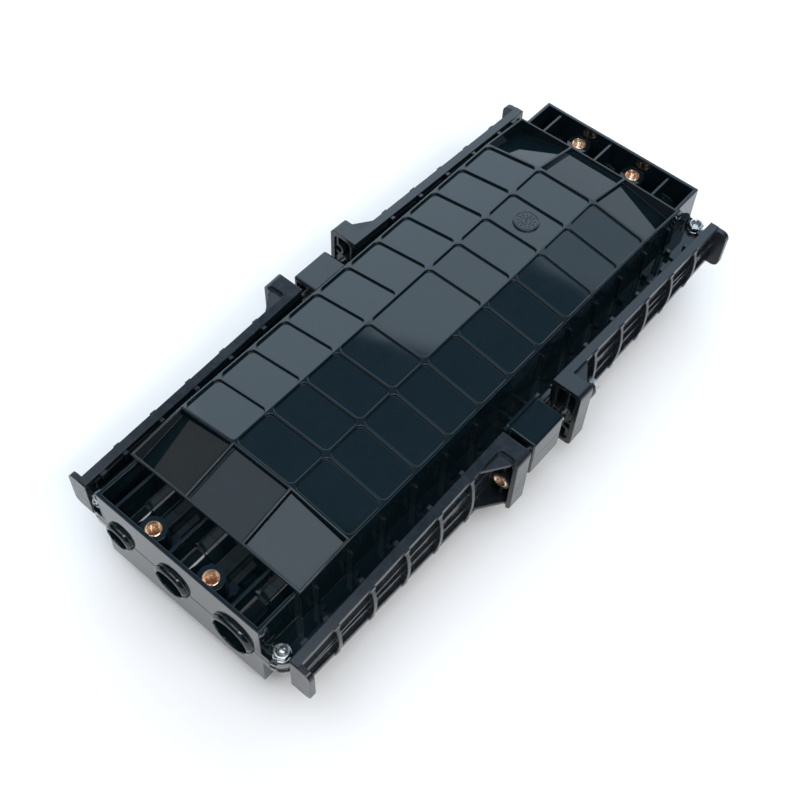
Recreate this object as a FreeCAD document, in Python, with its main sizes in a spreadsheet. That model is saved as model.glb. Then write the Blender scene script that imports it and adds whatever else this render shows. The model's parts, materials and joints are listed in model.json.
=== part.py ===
import FreeCAD, Part
import math
import os
import Sketcher
from FreeCAD import Placement, Rotation, Vector

# Inline fibre splice closure: two ribbed half shells, closed by four clamp
# rails that slide along the flange and are drawn together by two long bolts.
# +X runs along the closure, +Z up. Everything is built about the parting
# plane (z = 0) and then raised so that the closure stands on z = 0.

doc = FreeCAD.newDocument("splice_closure")
sheet = doc.addObject("Spreadsheet::Sheet", "dims")

SIZES = [
    # shell outline
    ("half_len", 225.0, "end face from the middle"),
    ("seam", 0.55, "half height of the groove along the parting line of the ends"),
    ("end_half_w", 66.5, "half width of the end boxes"),
    ("end_rim", 35.0, "height of the end box rim over the parting plane"),
    ("block_half", 193.8, "end rim of the ribbed block from the middle"),
    ("base_half_w", 70.0, "half width of the block at the flange"),
    ("rim_half_w", 69.2, "half width of the block at its rim"),
    ("main_half", 151.1, "end edge of the flat ribbed top from the middle"),
    ("side_rim", 43.6, "height of the side rim of the ribbed top"),
    ("crown", 51.0, "height of the middle column of the ribbed top"),
    ("crown_half", 23.4, "half width of the middle column"),
    ("end_rim_z", 40.4, "height of the block's end rim"),
    ("end_rim_side", 39.4, "height of the end rim at the sides"),
    ("skin", 2.8, "wall thickness of the shells"),
    ("part_z", 51.0, "height of the parting plane over the base"),
    # ribs and cells of the top
    ("rows", 10, "cells along the top"),
    ("row_pitch", 30.22, "pitch of the cells along the top"),
    ("rib_w", 2.2, "width of the ribs"),
    ("cell_deep", 1.7, "depth of the cells"),
    ("cell_round", 3.6, "corner radius of the cells"),
    ("slope_step", 4.4, "step from the top edge down to the sloped panels"),
    ("slope_sink", 2.9, "depth of the middle sloped panel at the end rim"),
    ("panel_fall", 9.9, "fall of the side panels towards the sides"),
    ("side_fall", 9.7, "fall of the side panels towards the end rim"),
    # ports
    ("port_one_y", 52.2, "small port, side position"),
    ("port_two_y", 7.0, "middle port, side position"),
    ("port_three_y", -43.6, "large port, side position"),
    ("port_one_r", 7.8, "small port radius"),
    ("port_two_r", 10.3, "middle port radius"),
    ("port_three_r", 13.0, "large port radius"),
    ("port_wall", 3.0, "wall of the port tunnels"),
    ("port_step", 2.6, "widening of the tunnels next to the block"),
    ("collar_w", 3.3, "ring width of the port collars"),
    ("collar_out", 3.2, "how far the collars stand out"),
    ("collar_round", 2.7, "rounding of the collars"),
    ("web_top", 33.0, "height of the webs over the tunnels"),
    ("floor_top", 5.0, "floor of the end troughs"),
    # hanger inserts
    ("hang_x", 215.0, "hanger inserts from the middle"),
    ("hang_y_one", 29.5, "hanger insert, side position"),
    ("hang_y_two", -18.5, "hanger insert, side position"),
    ("hang_top", 23.6, "top of the hanger bosses"),
    ("hang_boss_r", 8.8, "radius of the hanger bosses"),
    ("hang_r", 5.4, "radius of the insert holes"),
    ("hang_bore_r", 3.4, "radius of the tapped bore"),
    ("hang_len", 14.0, "length of the hanger inserts"),
    # flange
    ("flange_half_len", 225.0, "flange end from the middle"),
    ("flange_half_w", 83.4, "half width of the flange"),
    ("flange_thick", 6.4, "thickness of one flange"),
    ("flange_round", 11.0, "corner radius of the flange"),
    ("stud_x", 217.3, "corner bolts from the middle"),
    ("stud_y", 75.8, "corner bolts, side position"),
    ("stud_r", 3.0, "corner bolt radius"),
    ("post_x", 217.4, "round pads from the middle"),
    ("post_y", 65.8, "round pads, side position"),
    ("post_r", 3.9, "radius of the round pads"),
    ("post_top", 13.0, "top of the round pads"),
    ("lip_in", 84.4, "inner face of the flange lip"),
    ("lip_out", 87.0, "outer face of the flange lip"),
    ("lip_gap", 0.4, "clearance between the flange lip and the rail strip"),
    ("lip_start", 27.5, "start of the flange lip from the middle"),
    ("lip_end", 213.0, "end of the flange lip from the middle"),
    ("gusset_w", 2.0, "thickness of the gussets"),
    ("gusset_top", 8.2, "height of the gussets at the lip"),
    ("gusset_tip", 12.4, "height of the tips on the gussets"),
    ("gusset_pitch", 29.3, "pitch of the gussets"),
    ("gusset_first", 35.2, "first gusset from the middle"),
    # bolt blocks
    ("tunnel_half", 16.0, "half length of the bolt blocks"),
    ("tunnel_in", 80.0, "inner face of the bolt blocks"),
    ("ridge_half", 18.5, "half length of the ridge beside the bolt blocks"),
    ("ridge_out", 82.4, "outer face of the ridge beside the bolt blocks"),
    ("ridge_gap", 1.6, "width and depth of the groove behind the ridge"),
    ("tunnel_out", 103.8, "outer face of the bolt blocks"),
    ("tunnel_top", 18.0, "height of the bolt blocks"),
    ("tunnel_fall", 0.8, "fall of the bolt blocks' tops towards the outside"),
    ("tunnel_wall", 3.0, "wall of the bolt blocks"),
    # clamp rails
    ("rail_in", 85.0, "inner edge of the rail"),
    ("rail_out", 91.5, "outer edge of the rail strip"),
    ("rail_mid", 28.0, "half height of the rail at its lug"),
    ("rail_low", 17.8, "half height of the rail at its end plate"),
    ("rail_plate", 3.8, "thickness of the rail strip"),
    ("rail_web_in", 87.4, "inner face of the rail web"),
    ("rail_web", 2.0, "thickness of the rail web"),
    ("rail_end", 217.0, "inner face of the end plate"),
    ("rail_end_thick", 4.0, "thickness of the end plate"),
    ("rail_end_out", 101.0, "outer edge of the end plate"),
    ("rail_end_top", 16.4, "half height of the end plate"),
    ("rail_bulge", 3.4, "bulge of the rail ribs"),
    ("rail_rib_w", 2.6, "width of the rail ribs"),
    ("rail_rib_first", 65.2, "first rail rib from the middle"),
    ("rail_rib_pitch", 30.8, "pitch of the rail ribs"),
    ("fin_sink", 17.0, "fins below the rail strip"),
    ("fin_thick", 1.7, "thickness of the rail fins"),
    ("hook_in", 82.2, "inner face of the rail hooks"),
    ("hook_out", 84.0, "outer face of the rail hooks"),
    ("hook_deep", 12.6, "lower end of the rail hooks"),
    ("hook_last", 206.6, "hook next to the end plate, from the middle"),
    ("near_lug", 26.5, "inner face of the near lugs"),
    ("far_lug", 26.5, "inner face of the far lugs"),
    ("lug_thick", 13.5, "thickness of the lugs"),
    ("lug_out", 107.6, "outer face of the lugs"),
    ("lug_wall", 3.4, "wall of the lug pockets"),
    ("lug_round", 3.6, "rounding of the lugs"),
    ("bolt_y", 97.4, "side position of the clamp bolts"),
    ("bolt_r", 2.95, "radius of the clamp bolts"),
    ("bolt_bore_r", 3.03, "bore that the clamp bolts turn in"),
    ("boss_r", 6.6, "radius of the lug bosses"),
    ("ring_y", 101.6, "side position of the spare ring in the lug"),
    ("ring_z", 10.4, "height of the spare ring in the lug"),
    ("ring_r", 4.7, "outer radius of the spare ring"),
    ("ring_hole", 3.0, "hole of the spare ring"),
    ("lug_gusset", 102.4, "outer end of the slanted gussets at the lug"),
    ("lug_gusset_z", 23.0, "height of the slanted gussets"),
    ("lug_gusset_foot", 61.0, "foot of the slanted gussets from the middle"),
    ("insert_r", 5.2, "radius of the rail inserts"),
    ("far_boss", 55.0, "outer end of the far lug bosses"),
    ("washer_thick", 1.5, "thickness of the bolt washers"),
    ("washer_r", 6.2, "radius of the bolt washers"),
    ("head_thick", 4.2, "thickness of the bolt heads"),
    ("head_r", 5.77, "corner radius of the hex heads"),
    ("bolt_tip", -35.0, "tip of the clamp bolts"),
    # seal
    ("seal_y", 75.2, "side position of the seal"),
    ("seal_w", 4.0, "width of the seal"),
    ("seal_deep", 2.0, "depth of the seal groove in each half"),
    ("seal_half", 205.0, "half length of the seal"),
    # inside
    ("pillar_x", 118.0, "tray pillars from the middle"),
    ("pillar_y", 42.0, "tray pillars, side position"),
    ("pillar_r", 4.5, "radius of the tray pillars"),
    ("pillar_top", -27.0, "top of the tray pillars"),
    ("plate_half", 178.0, "half length of the tray bracket"),
    ("plate_half_w", 50.0, "half width of the tray bracket"),
    ("plate_thick", 1.5, "thickness of the tray bracket"),
    ("tray_half", 140.0, "half length of the trays"),
    ("tray_half_w", 52.0, "half width of the trays"),
    ("tray_high", 9.6, "height of a tray"),
    ("tray_skin", 1.6, "wall of a tray"),
    ("tray_first", -22.0, "underside of the first tray"),
    ("tray_pitch", 10.0, "pitch of the trays"),
]
for number, (alias, value, note) in enumerate(SIZES, 1):
    sheet.set("A%d" % number, note)
    sheet.set("B%d" % number, str(value))
    sheet.setAlias("B%d" % number, alias)
doc.recompute()


class Size:
    """A number together with the sheet expression that it comes from."""

    def __init__(self, value, text):
        self.value = float(value)
        self.text = text

    @staticmethod
    def of(item):
        return item if isinstance(item, Size) else Size(item, "(%.6f)" % item)

    def __add__(self, other):
        other = Size.of(other)
        return Size(self.value + other.value, "(%s + %s)" % (self.text, other.text))

    def __sub__(self, other):
        other = Size.of(other)
        return Size(self.value - other.value, "(%s - %s)" % (self.text, other.text))

    def __mul__(self, other):
        other = Size.of(other)
        return Size(self.value * other.value, "(%s * %s)" % (self.text, other.text))

    def __truediv__(self, other):
        other = Size.of(other)
        return Size(self.value / other.value, "(%s / %s)" % (self.text, other.text))

    def __neg__(self):
        return Size(-self.value, "(0 - %s)" % self.text)

    def __radd__(self, other):
        return Size.of(other) + self

    def __rsub__(self, other):
        return Size.of(other) - self

    def __rmul__(self, other):
        return Size.of(other) * self


class Dims:
    pass


d = Dims()
for alias, value, note in SIZES:
    setattr(d, alias, Size(sheet.get(alias), "dims.%s" % alias))

ALONG_X = Rotation(Vector(1, 1, 1), 120)      # local z along +X, local x along +Y


def bind(obj, prop, size):
    obj.setExpression(prop, Size.of(size).text)


def place(obj, x=0, y=0, z=0, turn=None):
    x, y, z = Size.of(x), Size.of(y), Size.of(z)
    obj.Placement = Placement(Vector(x.value, y.value, z.value), turn or Rotation())
    bind(obj, "Placement.Base.x", x)
    bind(obj, "Placement.Base.y", y)
    bind(obj, "Placement.Base.z", z)
    return obj


def box(name, x0, x1, y0, y1, z0, z1):
    obj = doc.addObject("Part::Box", name)
    bind(obj, "Length", Size.of(x1) - x0)
    bind(obj, "Width", Size.of(y1) - y0)
    bind(obj, "Height", Size.of(z1) - z0)
    return place(obj, x0, y0, z0)


def rod(name, radius, x0, x1, y, z=0, half=False):
    """Round bar along X; half keeps the part over the parting plane."""
    obj = doc.addObject("Part::Cylinder", name)
    bind(obj, "Radius", radius)
    bind(obj, "Height", Size.of(x1) - x0)
    if half:
        obj.Angle = 180
    return place(obj, x0, y, z, ALONG_X)


def post(name, radius, x, y, z0, z1):
    obj = doc.addObject("Part::Cylinder", name)
    bind(obj, "Radius", radius)
    bind(obj, "Height", Size.of(z1) - z0)
    return place(obj, x, y, z0)


def wedge(name, x0, x1, y0, y1, z0, z1, x_far0, x_far1):
    """Plate whose X span narrows from x0..x1 at y0 to x_far0..x_far1 at y1."""
    obj = doc.addObject("Part::Wedge", name)
    for prop, size in (("Xmin", x0), ("Xmax", x1), ("Ymin", y0), ("Ymax", y1),
                       ("Zmin", z0), ("Zmax", z1), ("X2min", x_far0),
                       ("X2max", x_far1), ("Z2min", z0), ("Z2max", z1)):
        bind(obj, prop, size)
    return obj


def ramp(name, x0, x1, y0, y1, low0, high0, low1, high1):
    """Bar along X whose height runs from low0..high0 at x0 to low1..high1 at x1."""
    obj = doc.addObject("Part::Wedge", name)
    y0, y1 = Size.of(y0), Size.of(y1)
    for prop, size in (("Ymin", x0), ("Ymax", x1), ("Xmin", -y1), ("Xmax", -y0),
                       ("X2min", -y1), ("X2max", -y0), ("Zmin", low0), ("Zmax", high0),
                       ("Z2min", low1), ("Z2max", high1)):
        bind(obj, prop, size)
    return place(obj, 0, 0, 0, Rotation(Vector(0, 0, 1), -90))


def fuse(name, items):
    if len(items) == 1:
        return items[0]
    obj = doc.addObject("Part::MultiFuse", name)
    obj.Shapes = items
    obj.Refine = True
    return obj


def cut(name, base, tools):
    obj = doc.addObject("Part::Cut", name)
    obj.Base = base
    obj.Tool = fuse(name + "_tools", tools)
    obj.Refine = True
    return obj


def common(name, one, two):
    obj = doc.addObject("Part::Common", name)
    obj.Base = one
    obj.Tool = two
    return obj


def mirror(name, source, normal):
    obj = doc.addObject("Part::Mirroring", name)
    obj.Source = source
    obj.Base = Vector(0, 0, 0)
    obj.Normal = normal
    return obj


def group(name, items):
    obj = doc.addObject("Part::Compound", name)
    obj.Links = items
    return obj


def rounded(name, base, radius, pick):
    """Fillet the edges of base that pick(edge) chooses."""
    doc.recompute()
    obj = doc.addObject("Part::Fillet", name)
    obj.Base = base
    chosen = [i for i, e in enumerate(base.Shape.Edges, 1) if pick(e)]
    obj.Edges = [(i, radius, radius) for i in chosen]
    return obj


def runs_along(edge, axis):
    a, b = edge.Vertexes[0].Point, edge.Vertexes[-1].Point
    step = b - a
    other = [abs(step[i]) for i in range(3) if i != axis]
    return abs(step[axis]) > 1e-6 and max(other) < 1e-6


def origin_plane(body, role):
    return [f for f in body.Origin.OriginFeatures if f.Role == role][0]


def new_body(name):
    return doc.addObject("PartDesign::Body", name)


def attach(sk, body, role, lift=None):
    sk.AttachmentSupport = (origin_plane(body, role), [""])
    sk.MapMode = "FlatFace"
    if lift is not None:
        lift = Size.of(lift)
        sk.AttachmentOffset = Placement(Vector(0, 0, lift.value), Rotation())
        bind(sk, "AttachmentOffset.Base.z", lift)


def polygon(body, name, role, points, lift=None):
    """Closed sketch through points, each one held to the sheet."""
    sk = body.newObject("Sketcher::SketchObject", name)
    attach(sk, body, role, lift)
    pts = [(Size.of(x), Size.of(y)) for x, y in points]
    n = len(pts)
    for i in range(n):
        a, b = pts[i], pts[(i + 1) % n]
        sk.addGeometry(Part.LineSegment(Vector(a[0].value, a[1].value, 0),
                                        Vector(b[0].value, b[1].value, 0)), False)
    for i in range(n):
        sk.addConstraint(Sketcher.Constraint("Coincident", i, 2, (i + 1) % n, 1))
    for i, pair in enumerate(pts):
        for kind, size, axis in (("DistanceX", pair[0], -2), ("DistanceY", pair[1], -1)):
            if abs(size.value) < 1e-9:
                sk.addConstraint(Sketcher.Constraint("PointOnObject", i, 1, axis))
            else:
                k = sk.addConstraint(Sketcher.Constraint(kind, -1, 1, i, 1, size.value))
                bind(sk, "Constraints[%d]" % k, size)
    return sk


def circles(body, name, role, rounds, lift=None):
    sk = body.newObject("Sketcher::SketchObject", name)
    attach(sk, body, role, lift)
    for i, (x, y, r) in enumerate(rounds):
        x, y, r = Size.of(x), Size.of(y), Size.of(r)
        sk.addGeometry(Part.Circle(Vector(x.value, y.value, 0), Vector(0, 0, 1), r.value), False)
        for kind, size, axis in (("DistanceX", x, -2), ("DistanceY", y, -1)):
            if abs(size.value) < 1e-9:
                sk.addConstraint(Sketcher.Constraint("PointOnObject", i, 3, axis))
            else:
                k = sk.addConstraint(Sketcher.Constraint(kind, -1, 1, i, 3, size.value))
                bind(sk, "Constraints[%d]" % k, size)
        k = sk.addConstraint(Sketcher.Constraint("Radius", i, r.value))
        bind(sk, "Constraints[%d]" % k, r)
    return sk


def rectangle(body, name, role, half_x, half_y, lift=None):
    half_x, half_y = Size.of(half_x), Size.of(half_y)
    return polygon(body, name, role, [(-half_x, -half_y), (half_x, -half_y),
                                      (half_x, half_y), (-half_x, half_y)], lift)


def pad(body, name, sk, length, both=False):
    f = body.newObject("PartDesign::Pad", name)
    f.Profile = sk
    bind(f, "Length", length)
    if both:
        f.SideType = "Symmetric"
    return f


def pocket(body, name, sk, depth):
    before = body_volume(body)
    f = body.newObject("PartDesign::Pocket", name)
    f.Profile = sk
    bind(f, "Length", depth)
    doc.recompute()
    if f.Shape.Volume > before - 1e-6:
        f.Reversed = True
        doc.recompute()
    if f.Shape.Volume > before - 1e-6:
        raise RuntimeError("pocket cuts nothing: " + name)
    return f


def body_volume(body):
    doc.recompute()
    return body.Shape.Volume


def upright_fillet(body, name, base, radius):
    """Round the upright edges of a padded plate."""
    doc.recompute()
    edges = ["Edge%d" % i for i, e in enumerate(base.Shape.Edges, 1) if runs_along(e, 2)]
    f = body.newObject("PartDesign::Fillet", name)
    f.Base = (base, edges)
    bind(f, "Radius", radius)
    return f


nodes = []


def node(name, obj):
    """Name a finished sub-part and raise it by the parting height."""
    if obj.Name != name:
        obj.Label = name
    place(obj, 0, 0, d.part_z)
    nodes.append((name, obj))
    return obj


def rail_half(x):
    """Half height of a clamp rail at the distance x from the middle."""
    return d.rail_mid - (Size.of(x) - d.near_lug) * (d.rail_mid - d.rail_low) / (
        d.rail_end - d.near_lug)


# ---------------------------------------------------------------- half shell
# Solid outline: a crowned prism with three facets, and a sloped end to each
# side that falls to the lower end rim.
top_outline = [(-d.base_half_w, 0), (d.base_half_w, 0), (d.rim_half_w, d.side_rim),
               (d.crown_half, d.crown), (-d.crown_half, d.crown), (-d.rim_half_w, d.side_rim)]
end_outline = [(-d.base_half_w, 0), (d.base_half_w, 0), (d.rim_half_w, d.end_rim_side),
               (d.crown_half, d.end_rim_z), (-d.crown_half, d.end_rim_z),
               (-d.rim_half_w, d.end_rim_side)]
outline = new_body("shell_outline")
main_sk = polygon(outline, "outline_main", "YZ_Plane", top_outline)
pad(outline, "outline_pad", main_sk, d.main_half * 2, both=True)
edge_sk = polygon(outline, "outline_edge", "YZ_Plane", top_outline, d.main_half)
rim_sk = polygon(outline, "outline_rim", "YZ_Plane", end_outline, d.block_half)
end_loft = outline.newObject("PartDesign::AdditiveLoft", "outline_end")
end_loft.Profile = edge_sk
end_loft.Sections = [rim_sk]
end_loft.Ruled = True
doc.recompute()
twin = outline.newObject("PartDesign::Mirrored", "outline_twin")
twin.Originals = [end_loft]
twin.MirrorPlane = (origin_plane(outline, "YZ_Plane"), [""])
outline.Tip = twin
doc.recompute()

# Hollow inside, a skin's thickness below the cells and the sloped panels.
roof = d.crown - d.cell_deep - d.skin
eave = d.side_rim - d.cell_deep - d.skin
in_w = d.rim_half_w - d.skin
in_main = [(-in_w, -1), (in_w, -1), (in_w, eave), (d.crown_half, roof),
           (-d.crown_half, roof), (-in_w, eave)]
in_edge_side = d.crown - d.slope_step - d.panel_fall - d.skin
in_edge = [(-in_w, -1), (in_w, -1), (in_w, in_edge_side),
           (d.crown_half, d.crown - d.slope_step - d.skin),
           (-d.crown_half, d.crown - d.slope_step - d.skin),
           (-in_w, in_edge_side)]
in_rim_z = d.end_rim_z - d.slope_sink - d.skin
in_rim_side = in_edge_side - d.side_fall
in_rim = [(-in_w, -1), (in_w, -1), (in_w, in_rim_side), (d.crown_half, in_rim_z),
          (-d.crown_half, in_rim_z), (-in_w, in_rim_side)]
hollow = new_body("shell_hollow")
pad(hollow, "hollow_pad", polygon(hollow, "hollow_main", "YZ_Plane", in_main),
    (d.main_half - 2) * 2, both=True)
h_edge = polygon(hollow, "hollow_edge", "YZ_Plane", in_edge, d.main_half - 2.2)
h_rim = polygon(hollow, "hollow_rim", "YZ_Plane", in_rim, d.block_half - d.skin)
h_loft = hollow.newObject("PartDesign::AdditiveLoft", "hollow_end")
h_loft.Profile = h_edge
h_loft.Sections = [h_rim]
h_loft.Ruled = True
doc.recompute()
h_twin = hollow.newObject("PartDesign::Mirrored", "hollow_twin")
h_twin.Originals = [h_loft]
h_twin.MirrorPlane = (origin_plane(hollow, "YZ_Plane"), [""])
hollow.Tip = h_twin
doc.recompute()

# Flange plate with rounded corners.
flange = new_body("flange_plate")
flange_pad = pad(flange, "flange_pad",
                 rectangle(flange, "flange_outline", "XY_Plane",
                           d.flange_half_len, d.flange_half_w), d.flange_thick)
upright_fillet(flange, "flange_corners", flange_pad, d.flange_round)

# Cells of the top: one rounded cell, repeated along the column.
facet_rise = d.crown - d.side_rim
facet_run = d.rim_half_w - d.crown_half
facet_tilt = math.degrees(math.atan2(facet_rise.value, facet_run.value))
facet_len = Size(math.hypot(facet_rise.value, facet_run.value),
                 "sqrt(%s ^ 2 + %s ^ 2)" % (facet_rise.text, facet_run.text))


def cell_column(name, half_y):
    body = new_body(name)
    block = pad(body, name + "_pad",
                rectangle(body, name + "_outline", "XY_Plane",
                          (d.row_pitch - d.rib_w) / 2, half_y), 12)
    corners = upright_fillet(body, name + "_corners", block, d.cell_round)
    doc.recompute()
    row = body.newObject("PartDesign::LinearPattern", name + "_row")
    row.Originals = [block, corners]
    row.Direction = (origin_plane(body, "X_Axis"), [""])
    bind(row, "Length", d.row_pitch * (d.rows - 1))
    row.Occurrences = int(d.rows.value)
    body.Tip = row
    doc.recompute()
    return body


column_start = -d.row_pitch * (d.rows - 1) / 2
mid_cells = cell_column("cells_mid", d.crown_half - d.rib_w / 2)
place(mid_cells, column_start, 0, d.crown - d.cell_deep)
side_half = (facet_len - d.rib_w / 2 - 1.9) / 2
side_cells = []
for side, name in ((1, "cells_left"), (-1, "cells_right")):
    body = cell_column(name, side_half)
    tilt = math.radians(facet_tilt)
    along = d.rib_w.value / 2 + side_half.value
    y = d.crown_half.value + along * math.cos(tilt) - d.cell_deep.value * math.sin(tilt)
    z = d.crown.value - along * math.sin(tilt) - d.cell_deep.value * math.cos(tilt)
    body.Placement = Placement(Vector(column_start.value, side * y, z),
                               Rotation(Vector(1, 0, 0), -side * facet_tilt))
    side_cells.append(body)
# The rib in the middle of the middle column is left out.
double_cell = box("cell_double", -6, 6, -(d.crown_half - d.rib_w / 2),
                  d.crown_half - d.rib_w / 2, d.crown - d.cell_deep, d.crown + 5)


# Sloped panels: three at each end, sunk between the ribs.
def slope_tool(name, y0, y1, z_edge0, z_edge1, z_rim0, z_rim1):
    body = new_body(name)
    top = d.crown + 12
    a = polygon(body, name + "_edge", "YZ_Plane",
                [(y0, z_edge0), (y1, z_edge1), (y1, top), (y0, top)], d.main_half + 1.6)
    b = polygon(body, name + "_rim", "YZ_Plane",
                [(y0, z_rim0), (y1, z_rim1), (y1, top), (y0, top)], d.block_half - 2.0)
    loft = body.newObject("PartDesign::AdditiveLoft", name + "_loft")
    loft.Profile = a
    loft.Sections = [b]
    loft.Ruled = True
    doc.recompute()
    return body


side_in = d.crown_half + d.rib_w / 2
side_out = d.rim_half_w - 1.9
fall = d.panel_fall
edge_in = d.crown - d.slope_step
slopes = [
    slope_tool("slope_mid", -(d.crown_half - d.rib_w / 2), d.crown_half - d.rib_w / 2,
               edge_in, edge_in, d.end_rim_z - d.slope_sink, d.end_rim_z - d.slope_sink),
    slope_tool("slope_left", side_in, side_out, edge_in, edge_in - fall,
               edge_in - d.side_fall, edge_in - fall - d.side_fall),
    slope_tool("slope_right", -side_out, -side_in, edge_in - fall, edge_in,
               edge_in - fall - d.side_fall, edge_in - d.side_fall),
]

# End boxes with their troughs.
ports = [("one", d.port_one_y, d.port_one_r), ("two", d.port_two_y, d.port_two_r),
         ("three", d.port_three_y, d.port_three_r)]
end_solid = box("end_solid", d.block_half - d.skin - 1, d.half_len, -d.end_half_w,
                d.end_half_w, 0, d.end_rim)
trough = box("trough", d.block_half, d.half_len - d.skin, -(d.end_half_w - d.skin),
             d.end_half_w - d.skin, d.floor_top, d.end_rim + 20)
fill = []
bores = []
for tag, y, r in ports:
    fill.append(rod("port_tube_" + tag, r + d.port_wall, d.block_half - 1, d.half_len - 1,
                    y, half=True))
    fill.append(rod("port_bell_" + tag, r + d.port_wall + d.port_step, d.block_half - 1,
                    d.block_half + 9.5, y, half=True))
    fill.append(box("port_web_" + tag, d.block_half - 1, d.half_len - 1, y - 1.0, y + 1.0,
                    d.floor_top, d.web_top))
    doc.recompute()
    ring = rod("port_ring_" + tag, r + d.collar_w, d.half_len - 1, d.half_len + d.collar_out,
               y, half=True)
    reach = d.half_len.value + d.collar_out.value
    fill.append(rounded("port_collar_" + tag, ring, d.collar_round.value,
                        lambda e, reach=reach: abs(e.CenterOfMass.x - reach) < 1e-6
                        and e.Length > 20 and e.Curve.TypeId == "Part::GeomCircle"))
    bores.append(rod("port_bore_" + tag, r, d.block_half - d.skin - 3, d.half_len + 12, y))
    bores.append(rod("port_mouth_" + tag, r + d.port_step, d.block_half - d.skin - 3,
                     d.block_half + 7.5, y))
    cone = doc.addObject("Part::Cone", "port_bevel_" + tag)
    bind(cone, "Radius1", r)
    bind(cone, "Radius2", r + 2.4)
    bind(cone, "Height", 2.4)
    bores.append(place(cone, d.half_len + d.collar_out - 0.8, y, 0, ALONG_X))
for tag, y in (("one", d.hang_y_one), ("two", d.hang_y_two)):
    fill.append(post("hang_boss_" + tag, d.hang_boss_r, d.hang_x, y, 0, d.hang_top))
    fill.append(box("hang_rib_" + tag, d.block_half - 1, d.hang_x, y - 1.0, y + 1.0,
                    d.floor_top, d.hang_top - 11))
    bores.append(post("hang_hole_" + tag, d.hang_r, d.hang_x, y, d.hang_top - d.hang_len,
                      d.hang_top + 5))
one_end = cut("end_open", end_solid, [trough])
one_end = fuse("end_full", [one_end] + fill)
# Cuts of one end, and the same cuts turned to the other end.
end_cuts = fuse("end_cuts", bores + slopes)
far_cuts = mirror("end_cuts_twin", end_cuts, Vector(1, 0, 0))
other_end = mirror("end_twin", one_end, Vector(1, 0, 0))

# Flange lip, gussets and the halves of the bolt blocks, for one side.
lip_first = rail_half(d.lip_start) - d.rail_plate - d.lip_gap
lip_last = rail_half(d.lip_end) - d.rail_plate - d.lip_gap
side = [ramp("lip_one", d.lip_start, d.lip_end, d.lip_in, d.lip_out, 0, lip_first, 0, lip_last),
        ramp("lip_two", -d.lip_end, -d.lip_start, d.lip_in, d.lip_out, 0, lip_last, 0,
             lip_first),
        box("lip_foot", -d.lip_end, d.lip_end, d.flange_half_w - 1, d.lip_in + 1, 0,
            d.flange_thick - 1.4)]
for k in range(6):
    for s in (1, -1):
        x = s * (d.gusset_first + k * d.gusset_pitch)
        if abs(x.value) > d.block_half.value + 6:
            continue
        tag = "%d%s" % (k, "p" if s > 0 else "n")
        side.append(box("gusset_" + tag, x - d.gusset_w / 2, x + d.gusset_w / 2,
                        d.rim_half_w - 1, d.lip_in + 1, 0, d.gusset_top))
        side.append(box("gusset_tip_" + tag, x - 1.4, x + 1.4, 73.2, 76.8, 0,
                        d.gusset_tip))
        side.append(box("wall_rib_" + tag, x - 0.8, x + 0.8, d.rim_half_w - 1,
                        d.rim_half_w + 2.6, 0, d.side_rim - 12))
for s, tag in ((1, "p"), (-1, "n")):
    side.append(box("block_gusset_" + tag, s * 8 - d.gusset_w / 2, s * 8 + d.gusset_w / 2,
                    d.rim_half_w - 1, d.tunnel_in + 1, 0, d.tunnel_top - 2))
doc.recompute()
tunnel = doc.addObject("Part::Wedge", "tunnel_solid")
for prop, size in (("Xmin", -d.tunnel_half), ("Xmax", d.tunnel_half), ("Ymin", d.tunnel_in),
                   ("Ymax", d.tunnel_out), ("Zmin", 0), ("Zmax", d.tunnel_top),
                   ("X2min", -d.tunnel_half), ("X2max", d.tunnel_half), ("Z2min", 0),
                   ("Z2max", d.tunnel_top - d.tunnel_fall)):
    bind(tunnel, prop, size)
doc.recompute()
tunnel = rounded("tunnel_round", tunnel, 1.8,
                 lambda e: e.CenterOfMass.z > 15 and (e.CenterOfMass.y > 103.7
                                                      or abs(e.CenterOfMass.x) > 15.9)
                 or (e.CenterOfMass.y > 103.7 and abs(e.CenterOfMass.x) > 15.9
                     and runs_along(e, 2)))
side.append(tunnel)
side.append(box("block_ridge", -d.ridge_half, d.ridge_half, d.tunnel_in, d.ridge_out, 0,
                d.tunnel_top - 0.8))
one_side = fuse("side_full", side)
tunnel_way = box("tunnel_way", -(d.tunnel_half + 5), d.tunnel_half + 5,
                 d.lip_in, d.tunnel_out - d.tunnel_wall, -1, d.tunnel_top - d.tunnel_wall)
ridge_groove = box("ridge_groove", -(d.tunnel_half + 5), d.tunnel_half + 5, d.ridge_out,
                   d.ridge_out + d.ridge_gap, d.tunnel_top - d.ridge_gap, d.tunnel_top + 1)
one_side = cut("side_open", one_side, [tunnel_way, ridge_groove])
other_side = mirror("side_twin", one_side, Vector(0, 1, 0))

pads = []
stud_holes = []
for sx in (1, -1):
    for sy in (1, -1):
        tag = "%d%d" % (sx + 1, sy + 1)
        pads.append(post("round_pad_" + tag, d.post_r, sx * d.post_x, sy * d.post_y, 0,
                         d.post_top))
        stud_holes.append(post("stud_hole_" + tag, d.stud_r + 0.3, sx * d.stud_x,
                               sy * d.stud_y, -1, d.flange_thick + 4))
grooves = [box("groove_left", -d.seal_half, d.seal_half, d.seal_y - d.seal_w / 2,
               d.seal_y + d.seal_w / 2, -1, d.seal_deep),
           box("groove_right", -d.seal_half, d.seal_half, -(d.seal_y + d.seal_w / 2),
               -(d.seal_y - d.seal_w / 2), -1, d.seal_deep)]
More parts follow.
